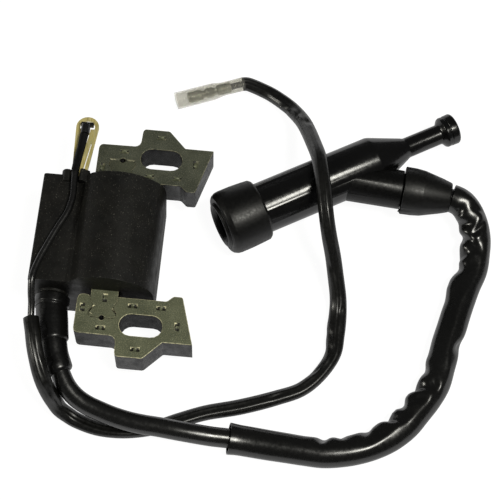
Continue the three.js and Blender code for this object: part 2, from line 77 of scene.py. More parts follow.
# ------------------------------------------------------------------ helpers
def new_obj(name, mesh, body=COIL, mat=None, replaces=(), ride=True):
    o = bpy.data.objects.new(name, mesh)
    coll.objects.link(o)
    if mat is not None:
        mesh.materials.clear()
        mesh.materials.append(mat)
    if ride:
        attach(o, body)
    if replaces:
        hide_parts(*replaces)
    return o


def apply_mods(o):
    """Bakes an object's modifiers into its own new mesh."""
    dg = bpy.context.evaluated_depsgraph_get()
    dg.update()
    me = bpy.data.meshes.new_from_object(o.evaluated_get(dg))
    old = o.data
    o.modifiers.clear()
    mats = list(old.materials)
    o.data = me
    me.materials.clear()
    for m in mats:
        me.materials.append(m)
    return o


def smooth_by_angle(me, deg=35.0):
    me.shade_smooth() if hasattr(me, "shade_smooth") else None
    if hasattr(me, "set_sharp_from_angle"):
        me.set_sharp_from_angle(angle=math.radians(deg))


def mesh_from(name, verts, faces, smooth=True, angle=35.0):
    me = bpy.data.meshes.new(name)
    me.from_pydata([tuple(v) for v in verts], [], faces)
    me.validate()
    bm = bmesh.new()
    bm.from_mesh(me)
    bmesh.ops.remove_doubles(bm, verts=bm.verts, dist=1e-7)
    bmesh.ops.recalc_face_normals(bm, faces=bm.faces)
    bm.to_mesh(me)
    bm.free()
    if smooth:
        smooth_by_angle(me, angle)
    return me


def basis(direction):
    d = Vector(direction).normalized()
    ref = Vector((1, 0, 0)) if abs(d.z) > 0.9 else Vector((0, 0, 1))
    b = ref.cross(d).normalized()
    a = d.cross(b).normalized()
    return a, d, b


def lathe(name, profile, origin, direction, seg=96, angle=35.0, fn=None):
    """profile: [(radius, distance)] in mm, closed loop or from axis to axis. origin in metres."""
    a, d, b = basis(direction)
    verts, faces, rings = [], [], []
    closed = profile[0][0] > 1e-6 and profile[-1][0] > 1e-6
    for (r, s) in profile:
        if r < 1e-6:
            rings.append([len(verts)])
            verts.append(origin + d * s * MM)
        else:
            ids = []
            for k in range(seg):
                t = 2 * math.pi * k / seg
                rr, ss = (r, s) if fn is None else fn(r, s, t)
                ids.append(len(verts))
                verts.append(origin + d * ss * MM + (a * math.cos(t) + b * math.sin(t)) * rr * MM)
            rings.append(ids)
    pairs = list(zip(rings, rings[1:]))
    if closed:
        pairs.append((rings[-1], rings[0]))
    for p, q in pairs:
        if len(p) == 1 and len(q) == 1:
            continue
        for k in range(seg):
            k2 = (k + 1) % seg
            if len(p) == 1:
                faces.append((p[0], q[k], q[k2]))
            elif len(q) == 1:
                faces.append((p[k], q[0], p[k2]))
            else:
                faces.append((p[k], q[k], q[k2], p[k2]))
    return mesh_from(name, verts, faces, True, angle)


def round_profile(pts, r=0.3, n=4):
    """Rounds the corners of an open or closed list of points (mm). r may be a dict by index."""
    closed = pts[0][0] > 1e-6 and pts[-1][0] > 1e-6
    out = []
    m = len(pts)
    for i, p in enumerate(pts):
        if not closed and i in (0, m - 1):
            out.append(p)
            continue
        rad = r.get(i, 0.0) if isinstance(r, dict) else r
        p = Vector((p[0], p[1])); a = Vector(pts[i - 1]); c = Vector(pts[(i + 1) % m])
        u, v = (a - p), (c - p)
        lu, lv = u.length, v.length
        if lu < 1e-9 or lv < 1e-9 or rad <= 0:
            out.append((p.x, p.y)); continue
        u.normalize(); v.normalize()
        cosang = max(-1, min(1, u.dot(v)))
        ang = math.acos(cosang)
        if ang > math.radians(172):
            out.append((p.x, p.y)); continue
        t = min(rad / math.tan(ang / 2), lu * 0.49, lv * 0.49)
        s, e = p + u * t, p + v * t
        for k in range(n + 1):
            w = k / n
            q = s * (1 - w) ** 2 + p * 2 * w * (1 - w) + e * w ** 2
            out.append((q.x, q.y))
    return out


def catmull(points, step):
    """Centripetal Catmull-Rom through points (mm tuples), resampled evenly, as Vectors in metres."""
    p = [Vector(q) for q in points]
    p = [p[0] * 2 - p[1]] + p + [p[-1] * 2 - p[-2]]
    out = []
    for i in range(1, len(p) - 2):
        p0, p1, p2, p3 = p[i - 1], p[i], p[i + 1], p[i + 2]
        d0 = (p1 - p0).length ** 0.5 or 1; d1 = (p2 - p1).length ** 0.5 or 1; d2 = (p3 - p2).length ** 0.5 or 1
        t1 = ((p1 - p0) / d0 - (p2 - p0) / (d0 + d1) + (p2 - p1) / d1) * d1
        t2 = ((p2 - p1) / d1 - (p3 - p1) / (d1 + d2) + (p3 - p2) / d2) * d1
        for k in range(24):
            t = k / 24
            c2 = -3 * p1 + 3 * p2 - 2 * t1 - t2
            c3 = 2 * p1 - 2 * p2 + t1 + t2
            out.append(p1 + t1 * t + c2 * t * t + c3 * t ** 3)
    out.append(p[-2])
    acc = [0.0]
    for a, b in zip(out, out[1:]):
        acc.append(acc[-1] + (b - a).length)
    n = max(2, int(round(acc[-1] / step)))
    res, j = [], 0
    for k in range(n + 1):
        s = acc[-1] * k / n
        while j < len(acc) - 2 and acc[j + 1] < s:
            j += 1
        w = (s - acc[j]) / max(acc[j + 1] - acc[j], 1e-9)
        q = out[j].lerp(out[j + 1], w)
        res.append(P(q.x, q.y, q.z))
    return res


def nearest(path, x, y, z):
    q = P(x, y, z)
    return min(range(len(path)), key=lambda i: (path[i] - q).length)


def frames(path, up=Vector((0, 0, 1))):
    """Frames with one axis kept as near to up as it can be, so that angle 90 deg is the top."""
    out = []
    for i, q in enumerate(path):
        t = (path[min(i + 1, len(path) - 1)] - path[max(i - 1, 0)]).normalized()
        side = t.cross(up)
        side = side.normalized() if side.length > 1e-6 else Vector((1, 0, 0))
        top = side.cross(t).normalized()
        out.append((q, t, side, top))
    return out


def sweep(name, path, radius, sides=32, bore=None, angle=50.0, lip=0.25):
    """Tube along path. radius(s_mm, theta, u) or a number, mm. bore gives an open end with a wall."""
    fr = frames(path)
    acc = [0.0]
    for a, b in zip(path, path[1:]):
        acc.append(acc[-1] + (b - a).length / MM)
    L = acc[-1]
    rf = radius if callable(radius) else (lambda s, th, u: radius)
    verts, faces, rings = [], [], []

    def ring(i, rfun, shift=0.0):
        q, t, side, top = fr[i]
        ids = []
        for k in range(sides):
            th = 2 * math.pi * k / sides
            r = rfun(acc[i], th, acc[i] / L)
            ids.append(len(verts))
            verts.append(q + t * shift * MM + (side * math.cos(th) + top * math.sin(th)) * r * MM)
        return ids
    for i in range(len(path)):
        rings.append(ring(i, rf))
    if bore is None:
        for i, end in ((0, 0), (len(path) - 1, 1)):
            q = fr[i][0]
            verts.append(q)
            c = len(verts) - 1
            r = rings[i]
            for k in range(sides):
                k2 = (k + 1) % sides
                faces.append((c, r[k], r[k2]) if end else (c, r[k2], r[k]))
    for p, q in zip(rings, rings[1:]):
        for k in range(sides):
            k2 = (k + 1) % sides
            faces.append((p[k], q[k], q[k2], p[k2]))
    if bore is not None:
        depth = min(10, len(path) // 3)
        wall = bore
        inner_start = [ring(i, lambda s, th, u: rf(s, th, u) - wall) for i in range(0, depth)]
        inner_end = [ring(i, lambda s, th, u: rf(s, th, u) - wall) for i in range(len(path) - 1, len(path) - 1 - depth, -1)]
        for outer, chain, flip in ((rings[0], inner_start, True), (rings[-1], inner_end, False)):
            seq = [outer] + chain
            for p, q in zip(seq, seq[1:]):
                for k in range(sides):
                    k2 = (k + 1) % sides
                    faces.append((p[k], p[k2], q[k2], q[k]) if flip else (p[k], q[k], q[k2], p[k2]))
            c = len(verts)
            verts.append(sum((verts[i] for i in chain[-1]), Vector()) / sides)
            last = chain[-1]
            for k in range(sides):
                k2 = (k + 1) % sides
                faces.append((last[k], last[k2], c) if flip else (last[k2], last[k], c))
    return mesh_from(name, verts, faces, True, angle)


def node_copy(name, node, merge=2e-6, dissolve=True):
    """A welded copy of a CAD node's mesh with its flat faces joined, as a new mesh in the row frame."""
    src = N[node]
    me = src.data.copy()
    me.name = name
    me.transform(src.matrix_world)
    bm = bmesh.new()
    bm.from_mesh(me)
    bmesh.ops.remove_doubles(bm, verts=bm.verts, dist=merge)
    if dissolve:
        bmesh.ops.dissolve_limit(bm, angle_limit=math.radians(0.5), verts=bm.verts, edges=bm.edges)
    bm.to_mesh(me)
    bm.free()
    return me


def boolean(o, cutter, op="DIFFERENCE"):
    m = o.modifiers.new("b", "BOOLEAN")
    m.object = cutter
    m.operation = op
    m.solver = "EXACT"
    apply_mods(o)
    bpy.data.objects.remove(cutter, do_unlink=True)


def temp(mesh):
    o = bpy.data.objects.new("tmp", mesh)
    coll.objects.link(o)
    return o


def even_normals(o, deg=30.0):
    """Sharp edges by angle, then normals weighted by face area, so that flat faces stay flat."""
    smooth_by_angle(o.data, deg)
    m = o.modifiers.new("wn", "WEIGHTED_NORMAL")
    m.keep_sharp = True
    m.weight = 100
    apply_mods(o)


def bevel(o, width, segments=3, angle=30.0, clamp=True, mat=-1):
    m = o.modifiers.new("bev", "BEVEL")
    m.width = width * MM
    m.segments = segments
    m.limit_method = "ANGLE"
    m.angle_limit = math.radians(angle)
    m.use_clamp_overlap = clamp
    m.material = mat
    m.harden_normals = False
    apply_mods(o)


# ------------------------------------------------------------------ materials
class Mat:
    """Small wrapper to write node materials briefly."""
    def __init__(self, name, color, rough, metal=0.0, spec=None):
        self.m = bpy.data.materials.new(name)
        self.m.use_nodes = True
        self.nt = self.m.node_tree
        self.bs = self.nt.nodes["Principled BSDF"]
        self.bs.inputs["Base Color"].default_value = (*color, 1)
        self.bs.inputs["Roughness"].default_value = rough
        self.bs.inputs["Metallic"].default_value = metal
        if spec is not None:
            self.bs.inputs["Specular IOR Level"].default_value = spec
        self.height = None
        self.tc = self.nt.nodes.new("ShaderNodeTexCoord")
        self.bumps = []

    def node(self, kind, **kw):
        n = self.nt.nodes.new(kind)
        for k, v in kw.items():
            setattr(n, k, v)
        return n

    def link(self, a, b):
        self.nt.links.new(a, b)

    def coords(self, scale=(1, 1, 1), rot=(0, 0, 0)):
        m = self.node("ShaderNodeMapping")
        m.inputs["Scale"].default_value = scale
        m.inputs["Rotation"].default_value = rot
        self.link(self.tc.outputs["Object"], m.inputs["Vector"])
        return m.outputs["Vector"]

    def noise(self, scale, detail=4, rough=0.55, vec=None, distortion=0.0):
        n = self.node("ShaderNodeTexNoise")
        n.inputs["Scale"].default_value = scale
        n.inputs["Detail"].default_value = detail
        n.inputs["Roughness"].default_value = rough
        n.inputs["Distortion"].default_value = distortion
        self.link(vec if vec is not None else self.coords(), n.inputs["Vector"])
        return n.outputs["Fac"]

    def ramp(self, fac, stops, interp="LINEAR"):
        r = self.node("ShaderNodeValToRGB")
        r.color_ramp.interpolation = interp
        el = r.color_ramp.elements
        while len(el) > 1:
            el.remove(el[-1])
        el[0].position, el[0].color = stops[0][0], (*stops[0][1], 1)
        for p, c in stops[1:]:
            e = el.new(p)
            e.color = (*c, 1)
        self.link(fac, r.inputs["Fac"])
        return r.outputs["Color"]

    def remap(self, fac, a, b, lo, hi):
        r = self.node("ShaderNodeMapRange")
        r.inputs["From Min"].default_value = a
        r.inputs["From Max"].default_value = b
        r.inputs["To Min"].default_value = lo
        r.inputs["To Max"].default_value = hi
        self.link(fac, r.inputs["Value"])
        return r.outputs["Result"]

    def color(self, out):
        self.link(out, self.bs.inputs["Base Color"])
        return self

    def rough(self, out):
        self.link(out, self.bs.inputs["Roughness"])
        return self

    def bump(self, fac, dist_mm, strength=1.0):
        b = self.node("ShaderNodeBump")
        b.inputs["Strength"].default_value = strength
        b.inputs["Distance"].default_value = dist_mm * MM
        self.link(fac, b.inputs["Height"])
        if self.bumps:
            self.link(self.bumps[-1], b.inputs["Normal"])
        self.bumps.append(b.outputs["Normal"])
        self.link(b.outputs["Normal"], self.bs.inputs["Normal"])
        return self

    def graze(self, level, start=0.35, end=0.85):
        """Gloss at full level seen head on, fading out toward the silhouette."""
        lw = self.node("ShaderNodeLayerWeight")
        lw.inputs["Blend"].default_value = 0.5
        r = self.remap(lw.outputs["Facing"], start, end, level, 0.015)
        self.link(r, self.bs.inputs["Specular IOR Level"])
        return self

    def mix(self, fac, a, b):
        m = self.node("ShaderNodeMix", data_type="RGBA")
        self.link(fac, m.inputs[0])
        for sock, v in ((m.inputs[6], a), (m.inputs[7], b)):
            if isinstance(v, tuple):
                sock.default_value = (*v, 1)
            else:
                self.link(v, sock)
        return m.outputs[2]

    def math(self, op, a, b=None):
        m = self.node("ShaderNodeMath", operation=op)
        for sock, v in ((m.inputs[0], a), (m.inputs[1], b)):
            if v is None:
                continue
            if isinstance(v, (int, float)):
                sock.default_value = v
            else:
                self.link(v, sock)
        return m.outputs[0]


def speckled(name, c0, c1, rough, metal=0.0, scale=900, bump=0.02, rvar=0.08, spec=None, detail=5):
    """Two close colours mixed by noise, uneven gloss, fine surface grain."""
    m = Mat(name, c0, rough, metal, spec)
    n = m.noise(scale, detail)
    big = m.noise(scale * 0.12, 3)
    m.color(m.mix(m.math("MULTIPLY", n, big), c0, c1))
    m.rough(m.remap(n, 0.3, 0.7, max(0.02, rough - rvar), min(1, rough + rvar)))
    m.bump(n, bump)
    return m


MATS = {}


def steel_material(name, tone, wear_and_highlight=False, recess_shade=False, bar=False):
    m = Mat(name, (0.10, 0.10, 0.08), 0.5, 0.35)
    geo = m.node("ShaderNodeNewGeometry")
    sep = m.node("ShaderNodeSeparateXYZ")
    m.link(geo.outputs["Normal"], sep.inputs[0])
    flat = m.remap(m.math("ABSOLUTE", sep.outputs["Z"]), 0.55, 0.9, 0.0, 1.0)
    patch = m.noise(230, 5, 0.62)
    fine = m.noise(3000, 5, 0.72)
    mid = m.noise(1300, 4, 0.65)
    cl = m.noise(80, 3, 0.5)
    cool = (1.0, 1.0, 1.16) if tone < 0.7 else (1.0, 1.0, 1.0)
    sc = lambda c, k=1.0: tuple(v * tone * k * q for v, q in zip(c, cool))
    top = m.ramp(patch, [(0.25, sc((0.170, 0.178, 0.108))), (0.5, sc((0.245, 0.252, 0.152))), (0.75, sc((0.315, 0.322, 0.202)))])
    top = m.mix(m.remap(fine, 0.40, 0.62, 0.0, 0.85), sc((0.090, 0.102, 0.064)), top)
    top = m.mix(m.remap(fine, 0.58, 0.72, 0.0, 0.75), top, sc((0.66, 0.64, 0.40)))
    top = m.mix(m.remap(mid, 0.56, 0.72, 0.0, 0.5), top, sc((0.150, 0.182, 0.150)))
    top = m.mix(m.remap(cl, 0.45, 0.75, 0.0, 0.45), top, sc((0.200, 0.210, 0.124)))
    pos = m.node("ShaderNodeSeparateXYZ")
    m.link(m.tc.outputs["Object"], pos.inputs[0])
    ph = m.math("FRACT", m.math("MULTIPLY", pos.outputs["Z"], 2000.0))
    line = m.remap(m.math("ABSOLUTE", m.math("SUBTRACT", ph, 0.5)), 0.30, 0.5, 0.0, 1.0)
    streak = m.noise(420, 4, 0.6, vec=m.coords((1.0, 1.0, 0.25)))
    grit = m.noise(2200, 3, 0.6, vec=m.coords((1.0, 1.0, 3.0)))
    # Side faces: lamination streaks and lines, kept darker than the tops partly as painted shade.
    side = m.ramp(streak, [(0.30, (0.012, 0.012, 0.013)), (0.50, (0.030, 0.030, 0.031)), (0.66, (0.062, 0.061, 0.060)), (0.8, (0.120, 0.117, 0.110))])
    side = m.mix(m.remap(grit, 0.55, 0.8, 0.0, 0.5), side, (0.110, 0.106, 0.098))
    side = m.mix(m.math("MULTIPLY", line, 0.7), side, (0.006, 0.006, 0.007))
    # painted shade: side faces darkened on the left block and inside the mounting slots
    left = m.remap(pos.outputs["X"], -0.009, 0.004, 1.0, 0.0)
    inx = m.remap(m.math("ABSOLUTE", m.math("SUBTRACT", pos.outputs["X"], 0.0103)), 0.0070, 0.0073, 1.0, 0.0)
    iny = m.remap(m.math("ABSOLUTE", m.math("SUBTRACT", m.math("ABSOLUTE", m.math("SUBTRACT", pos.outputs["Y"], 0.00254)), 0.030)), 0.00375, 0.0040, 1.0, 0.0)
    painted_shade = m.math("MAXIMUM", m.math("MULTIPLY", left, 0.74), m.math("MULTIPLY", m.math("MULTIPLY", inx, iny), 0.88))
    side = m.mix(painted_shade, side, (0.0025, 0.0025, 0.0024))
    if bar:                                       # the top of the bar darkens toward its far end, where it sits in the leg
        top = m.mix(m.remap(pos.outputs["Y"], -0.004, 0.008, 0.0, 0.46), top, (0.012, 0.014, 0.016))
    col = m.mix(flat, side, top)
    # Edge material: rubbed wear plus a painted highlight, a light yellowish colour standing in for the glint along the
    # top edges.
    if wear_and_highlight:
        rub_and_glint = m.noise(900, 4, 0.7)
        col = m.mix(m.remap(rub_and_glint, 0.38, 0.60, 0.12 if tone > 0.6 else 0.0, 0.95 if tone > 0.6 else 0.45), col, tuple(v * (0.35 + 0.6 * tone) for v in (0.80, 0.75, 0.48)))
    # Recess material: painted shade, nearly black, for the insides of dimples and grooves.
    if recess_shade:
        col = m.mix(m.remap(mid, 0.3, 0.7, 0.80, 1.0), col, (0.010, 0.010, 0.008))
    m.color(col)
    m.rough(m.remap(patch, 0.3, 0.7, 0.38, 0.58))
    m.bump(m.math("MULTIPLY", line, m.math("SUBTRACT", 1.0, flat)), -0.06)
    m.bump(fine, 0.03)
    m.graze(0.4, 0.4, 0.9)
    level = m.bs.inputs["Specular IOR Level"].links[0].from_socket
    cut = m.math("SUBTRACT", 1.0, m.math("MULTIPLY", m.math("MULTIPLY", painted_shade, m.math("SUBTRACT", 1.0, flat)), 0.85))
    m.link(m.math("MULTIPLY", level, cut), m.bs.inputs["Specular IOR Level"])
    m.link(m.math("MULTIPLY", cut, 0.35), m.bs.inputs["Metallic"])
    return m.m


def case_material(name="case_plastic", edge=False):
    m = Mat(name, (0.006, 0.006, 0.005), 0.5, 0.0, 0.3)
    g = m.noise(1500, 6, 0.62)
    v = m.node("ShaderNodeTexVoronoi")
    v.inputs["Scale"].default_value = 1100
    m.link(m.coords(), v.inputs["Vector"])
    patch = m.noise(120, 4)
    base = m.ramp(patch, [(0.3, (0.0042, 0.0042, 0.0039)), (0.7, (0.0080, 0.0076, 0.0064))])
    dust = m.noise(2600, 3, 0.6)
    base = m.mix(m.remap(dust, 0.64, 0.72, 0.0, 0.8), base, (0.16, 0.155, 0.13))
    # Edge variant: lighter mottled bevels, scuffing plus a painted rim highlight.
    if edge:
        base = m.mix(m.remap(m.noise(700, 4, 0.7), 0.42, 0.62, 0.0, 0.8), base, (0.085, 0.080, 0.062))
    scuff = m.noise(420, 5, 0.7, vec=m.coords((1.0, 0.18, 1.0)))
    m.color(m.mix(m.remap(scuff, 0.62, 0.78, 0.0, 0.35), base, (0.035, 0.034, 0.029)))
    m.rough(m.remap(m.noise(300, 4), 0.3, 0.7, 0.40, 0.58))
    m.bump(v.outputs["Distance"], 0.022)
    m.bump(g, 0.02)
    m.graze(0.25, 0.35, 0.85)
    return m.m


def gloss_material(name, c, rough, coat=0.0, wave=0.015, spec=0.5):
    m = Mat(name, c, rough, 0.0, spec)
    a = m.noise(45, 3)
    b = m.noise(900, 4)
    m.color(m.ramp(a, [(0.3, tuple(x * 0.75 for x in c)), (0.7, tuple(x * 1.35 for x in c))]))
    m.rough(m.remap(b, 0.3, 0.75, rough * 0.8, rough * 1.35))
    m.bump(m.noise(160, 2), wave)
    m.bump(b, 0.004)
    m.graze(spec)
    if coat:
        m.bs.inputs["Coat Weight"].default_value = coat
        m.bs.inputs["Coat Roughness"].default_value = 0.06
    return m.m


def gold_material():
    m = Mat("yellow_passivated", (0.62, 0.52, 0.22), 0.34, 0.3)
    n = m.noise(420, 4)
    w = m.noise(1400, 3, vec=m.coords((1, 0.2, 1)))
    st = m.noise(1100, 4, 0.65, vec=m.coords((1.0, 0.14, 1.0)))
    c = m.ramp(st, [(0.30, (0.30, 0.26, 0.09)), (0.45, (0.56, 0.47, 0.16)), (0.56, (0.74, 0.62, 0.24)), (0.68, (0.50, 0.52, 0.26))])
    c = m.mix(m.remap(n, 0.35, 0.65, 0.0, 0.35), c, (0.62, 0.55, 0.26))
    m.color(m.mix(m.remap(w, 0.5, 0.75, 0, 0.35), c, (0.86, 0.80, 0.58)))
    m.rough(m.remap(w, 0.3, 0.7, 0.26, 0.48))
    m.bump(w, 0.02)
    return m.m


MATS["steel"] = steel_material("laminated_steel", 0.79)
MATS["steel_bar"] = steel_material("laminated_steel_bar", 0.77, bar=True)
MATS["steel_dark"] = steel_material("laminated_steel_dark", 0.54)
# The edge copies mix wear with painted highlight; the recess copy is painted shade, nearly black.
MATS["steel_dark_worn_highlit"] = steel_material("laminated_steel_dark_edge_highlit", 0.52, wear_and_highlight=True)
MATS["steel_worn_highlit"] = steel_material("laminated_steel_edge_highlit", 0.88, wear_and_highlight=True)
MATS["steel_recess_shade"] = steel_material("laminated_steel_recess_shade", 0.5, recess_shade=True)
MATS["case"] = case_material()
MATS["case_edge"] = case_material("case_plastic_edge_scuffed_highlit", True)
MATS["cap_branch"] = gloss_material("phenolic_dull", (0.0028, 0.0028, 0.0028), 0.30, spec=0.2)
MATS["cap"] = gloss_material("phenolic_gloss", (0.0026, 0.0026, 0.0027), 0.19, spec=0.42)
MATS["lead"] = gloss_material("lead_jacket", (0.0040, 0.0040, 0.0038), 0.25, spec=0.62)
MATS["vinyl"] = gloss_material("vinyl_sleeve", (0.0034, 0.0034, 0.0032), 0.23, 0.0, 0.02, spec=0.52)
MATS["vinyl_thin"] = gloss_material("vinyl_sleeve_thin", (0.0030, 0.0030, 0.0026), 0.31, 0.0, 0.012, spec=0.50)
MATS["wire"] = gloss_material("wire_insulation", (0.005, 0.005, 0.005), 0.26, 0.0, spec=0.6)
MATS["shrink"] = gloss_material("shrink_tubing", (0.0035, 0.0035, 0.0034), 0.55, 0.0, 0.01, spec=0.12)
MATS["boot"] = gloss_material("boot_plastic", (0.0034, 0.0034, 0.0034), 0.27, spec=0.42)
MATS["rubber"] = speckled("plug_rubber", (0.0022, 0.0022, 0.0022), (0.0056, 0.0056, 0.0050), 0.40, 0, 1300, 0.02, 0.09, 0.22).graze(0.28, 0.35, 0.85).m
MATS["gold"] = gold_material()
MATS["tin"] = speckled("tin_plate", (0.36, 0.36, 0.30), (0.62, 0.60, 0.50), 0.34, 0.4, 700, 0.012).m
MATS["brass"] = speckled("brass_turned", (0.48, 0.34, 0.13), (0.66, 0.5, 0.24), 0.3, 0.9, 600, 0.01).m
MATS["copper"] = speckled("copper_winding", (0.42, 0.16, 0.06), (0.62, 0.28, 0.12), 0.35, 0.85, 500, 0.02).m
MATS["bobbin"] = speckled("bobbin_plastic", (0.07, 0.068, 0.06), (0.10, 0.098, 0.09), 0.5, 0, 900, 0.02).m
MATS["resin"] = speckled("potting", (0.012, 0.011, 0.010), (0.025, 0.022, 0.019), 0.3, 0, 200, 0.05).m
MATS["board"] = speckled("circuit_board", (0.03, 0.09, 0.04), (0.05, 0.14, 0.06), 0.4, 0, 900, 0.01).m
MATS["chip"] = speckled("chip_package", (0.012, 0.012, 0.012), (0.03, 0.03, 0.03), 0.5, 0, 1500, 0.01).m
MATS["ceramic"] = speckled("resistor_ceramic", (0.5, 0.45, 0.36), (0.66, 0.6, 0.5), 0.55, 0, 900, 0.01).m
MATS["spring"] = speckled("spring_wire", (0.42, 0.42, 0.42), (0.6, 0.6, 0.6), 0.25, 0.95, 900, 0.01).m


def clear_material():
    m = Mat("clear_vinyl", (0.80, 0.80, 0.76), 0.18, 0.0, 0.5)
    m.bs.inputs["Transmission Weight"].default_value = 0.89
    m.bs.inputs["IOR"].default_value = 1.09
    n = m.noise(160, 3)
    m.rough(m.remap(n, 0.3, 0.7, 0.02, 0.07))
    m.color(m.ramp(n, [(0.3, (0.68, 0.675, 0.62)), (0.7, (0.79, 0.78, 0.735))]))
    m.bump(n, 0.012)
    return m.m


MATS["clear"] = clear_material()

NODE_MAT = dict(core_leg_upper="steel", core_leg_lower="steel", core_bar="steel", coil_case="case", potting_resin="resin",
                primary_bobbin="bobbin", primary_winding="copper", secondary_bobbin="bobbin", secondary_winding="copper",
                module_board="board", power_transistor="chip", trigger_chip="chip", clamp_diode="chip", bias_resistor="ceramic",
                ground_strap="tin", ht_terminal_pin="brass", stop_terminal="gold", stop_wire_hook="wire", ht_boot="boot",
                ht_lead="lead", ht_sleeve="vinyl", stop_wire="wire", stop_sleeve="vinyl_thin", bullet_terminal="tin",
                connector_sleeve="clear", cap_body="cap", cap_plug_boot="rubber", cap_lead_boot="rubber", cap_plug_contact="brass",
                cap_snap_ring="spring", cap_contact_spring="spring", cap_resistor="ceramic", cap_lead_screw="brass")
for name, key in NODE_MAT.items():
    ob = N[name]
    ob.data.materials.clear()
    ob.data.materials.append(MATS[key])

# ------------------------------------------------------------------ routes
STOP_ROUTE = [
    (-59.0, 34.9, 24.6), (-59.15, 32.4, 24.6), (-59.42, 28.86, 24.8), (-59.8, 23.04, 26.0), (-59.82, 19.24, 26.75),
    (-59.64, 15.72, 26.75), (-59.35, 10.98, 26.75), (-60.21, 5.34, 26.75), (-62.59, -0.4, 26.75), (-64.93, -6.48, 26.75),
    (-67.17, -12.84, 26.75), (-68.28, -17.48, 26.75), (-68.5, -19.7, 26.55), (-68.5, -21.7, 25.6), (-68.35, -23.9, 24.2),
    (-68.03, -26.08, 22.8), (-67.9, -28.42, 21.6), (-67.73, -30.55, 20.90), (-66.45, -35.45, 21.30), (-65.40, -39.85, 20.70),
    (-64.15, -43.75, 19.60), (-62.69, -47.61, 17.60), (-61.22, -50.40, 15.40), (-59.62, -52.51, 12.20), (-58.11, -53.94, 8.90),
    (-56.20, -55.50, 6.00), (-53.62, -56.62, 4.00), (-50.95, -57.73, 3.00), (-43.88, -59.66, 2.70), (-36.38, -59.95, 2.7),
    (-29.68, -58.96, 2.7), (-23.4, -57.0, 2.7), (-17.51, -54.39, 2.7), (-9.68, -51.24, 2.7), (1.45, -48.1, 2.7),
    (12.87, -43.89, 2.7), (21.1, -39.98, 2.7), (26.91, -33.83, 2.7), (30.4, -26.8, 2.7), (30.78, -20.01, 2.7),
    (30.99, -11.19, 3.2), (30.59, -7.24, 5.0), (29.03, -1.29, 9.5), (27.54, 3.52, 14.0), (25.71, 8.02, 19.0),
    (24.33, 12.41, 22.6), (23.32, 16.86, 24.7), (22.49, 21.91, 25.5), (21.2, 28.58, 25.3), (20.04, 34.56, 23.8),
    (17.9, 42.4, 19.2), (14.42, 53.59, 11.6), (11.58, 59.41, 7.4), (8.17, 64.06, 4.6), (2.15, 68.84, 3.0),
    (-1.6, 70.6, 2.9), (-4.6, 71.7, 3.0), (-7.2, 72.35, 3.05), (-9.6, 71.82, 3.05), (-13.1, 70.39, 3.05),
]
LEAD_ROUTE = [
    (-62.8, -16.4, 14.0), (-62.8, -19.5, 14.0), (-62.72, -23.5, 14.0), (-61.81, -28.5, 14.0), (-60.6, -35.6, 13.8),
    (-58.86, -41.2, 13.2), (-56.57, -46.13, 12.3), (-54.29, -49.68, 11.4), (-51.25, -52.43, 10.4), (-47.67, -54.35, 9.6),
    (-43.49, -55.8, 9.1), (-38.64, -57.28, 8.9), (-33.53, -58.37, 8.8), (-28.8, -58.98, 8.8), (-23.78, -59.33, 8.8),
    (-17.78, -59.89, 8.7), (-11.5, -60.23, 8.0), (-6.51, -60.27, 7.0), (-1.05, -60.1, 6.0), (5.1, -60.32, 5.4),
    (11.59, -60.8, 5.2), (17.42, -61.24, 5.2), (23.25, -61.68, 5.2), (29.7, -61.89, 5.2), (36.37, -60.75, 5.2),
    (41.11, -59.29, 5.2), (45.82, -57.16, 5.2), (50.5, -54.18, 5.2), (55.13, -49.85, 5.2), (58.48, -45.1, 5.2),
    (61.84, -39.98, 5.2), (64.4, -34.8, 5.2), (65.85, -28.6, 5.2), (67.2, -20.8, 5.2), (69.5, -12.5, 5.2),
    (71.3, -5.4, 5.2), (73.1, 0.95, 5.2), (75.2, 6.9, 5.4), (75.79, 12.28, 6.0), (75.82, 17.44, 7.0),
    (74.78, 21.95, 8.4), (72.71, 25.89, 10.0), (69.8, 28.75, 11.3), (66.0, 30.1, 11.75), (60.0, 30.56, 11.75),
    (50.0, 31.33, 11.75), (38.5, 32.21, 11.75),
]
stop_path = catmull(STOP_ROUTE, 1.0)
lead_path = catmull(LEAD_ROUTE, 1.0)

# ------------------------------------------------------------------ lead, wire and sleeves
def gauss(x, w):
    return math.exp(-(x / w) ** 2)


def wrap(a):
    return (a + math.pi) % (2 * math.pi) - math.pi


def fold(s, th, creases):
    """Sum of creases: (s0, angle_deg, depth, width_s, width_deg, slant mm per rad, shoulder)."""
    v = 0.0
    for s0, ang, depth, ws, wa, slant, sh in creases:
        da = wrap(th - math.radians(ang))
        wa = math.radians(wa)
        if abs(da) > 2.6 * wa:
            continue
        x = s - s0 - slant * da
        if abs(x) > 6 * ws:
            continue
        side = gauss(da, wa)
        v += side * (-depth * gauss(x, ws) + sh * (gauss(x - 2.1 * ws, 1.4 * ws) + gauss(x + 2.1 * ws, 1.4 * ws)))
    return v


me = sweep("ht_lead_jacket", lead_path, lambda s, th, u: 3.2 + 0.03 * noise.noise(Vector((s * 0.08, math.cos(th), math.sin(th)))), 48)
lead = new_obj("ht_lead_jacket", me, COIL, MATS["lead"], ["ht_lead"])

